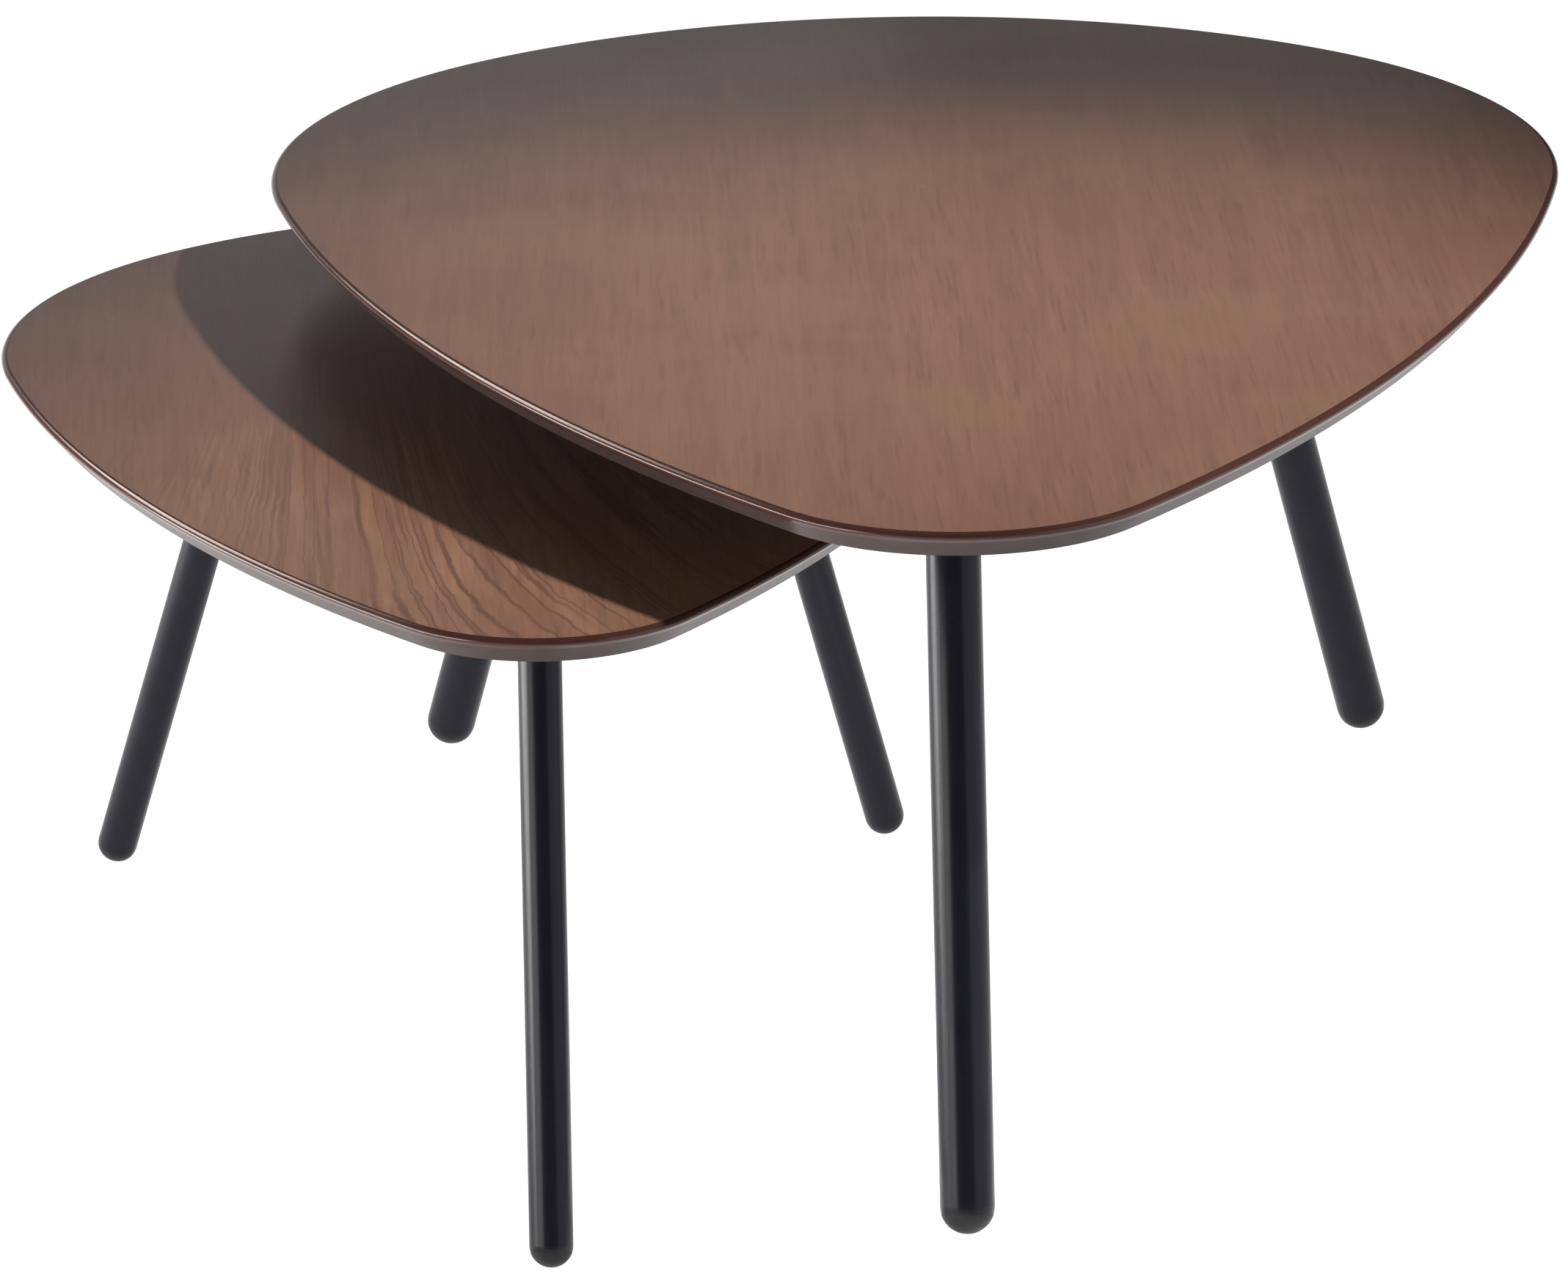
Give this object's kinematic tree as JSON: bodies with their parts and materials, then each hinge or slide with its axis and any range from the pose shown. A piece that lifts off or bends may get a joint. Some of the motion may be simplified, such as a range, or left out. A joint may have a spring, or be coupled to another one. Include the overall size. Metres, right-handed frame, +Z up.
{
  "type": "nesting tables",
  "caption": "Low nesting tables: rounded-triangle wood tops with undercut dark rims on splayed tubular legs, the smaller drawn out sideways from under the larger.",
  "frame": {"origin": "On the floor, under the centre of the bounding box of the two tables as stored.", "axes": "+Z up. +Y from the pointed front of the large top to its broad back. +X to the right seen from the front. The small table stands to the left, drawn part of the way out."},
  "size_m": [0.9509, 1.0773, 0.46],
  "materials": {
    "walnut_veneer": "semi-gloss lacquer over brown-stained walnut",
    "rim_lacquer": "semi-gloss dark brown lacquer",
    "fibreboard": "raw",
    "backing_sheet": "matte",
    "black_steel": "satin",
    "foot_plastic": "satin",
    "zinc_screws": "zinc plated"
  },
  "bodies": {
    "large_table": {"large_core": "fibreboard", "large_veneer": "walnut_veneer", "large_backer": "backing_sheet", "large_lipping": "rim_lacquer", "large_plate_front": "black_steel", "large_plate_right": "black_steel", "large_plate_left": "black_steel", "large_screws_front": "zinc_screws", "large_screws_right": "zinc_screws", "large_screws_left": "zinc_screws", "large_leg_front": "black_steel", "large_leg_right": "black_steel", "large_leg_left": "black_steel", "large_foot_front": "foot_plastic", "large_foot_right": "foot_plastic", "large_foot_left": "foot_plastic"},
    "small_table": {"small_core": "fibreboard", "small_veneer": "walnut_veneer", "small_backer": "backing_sheet", "small_lipping": "rim_lacquer", "small_plate_front": "black_steel", "small_plate_right": "black_steel", "small_plate_left": "black_steel", "small_screws_front": "zinc_screws", "small_screws_right": "zinc_screws", "small_screws_left": "zinc_screws", "small_leg_front": "black_steel", "small_leg_right": "black_steel", "small_leg_left": "black_steel", "small_foot_front": "foot_plastic", "small_foot_right": "foot_plastic", "small_foot_left": "foot_plastic"}
  },
  "joints": [
    {"name": "small_table_slide", "type": "slide", "parent": "large_table", "child": "small_table", "axis": [-0.9466, -0.3225, 0], "range_m": [-0.006, 0.48]}
  ]
}
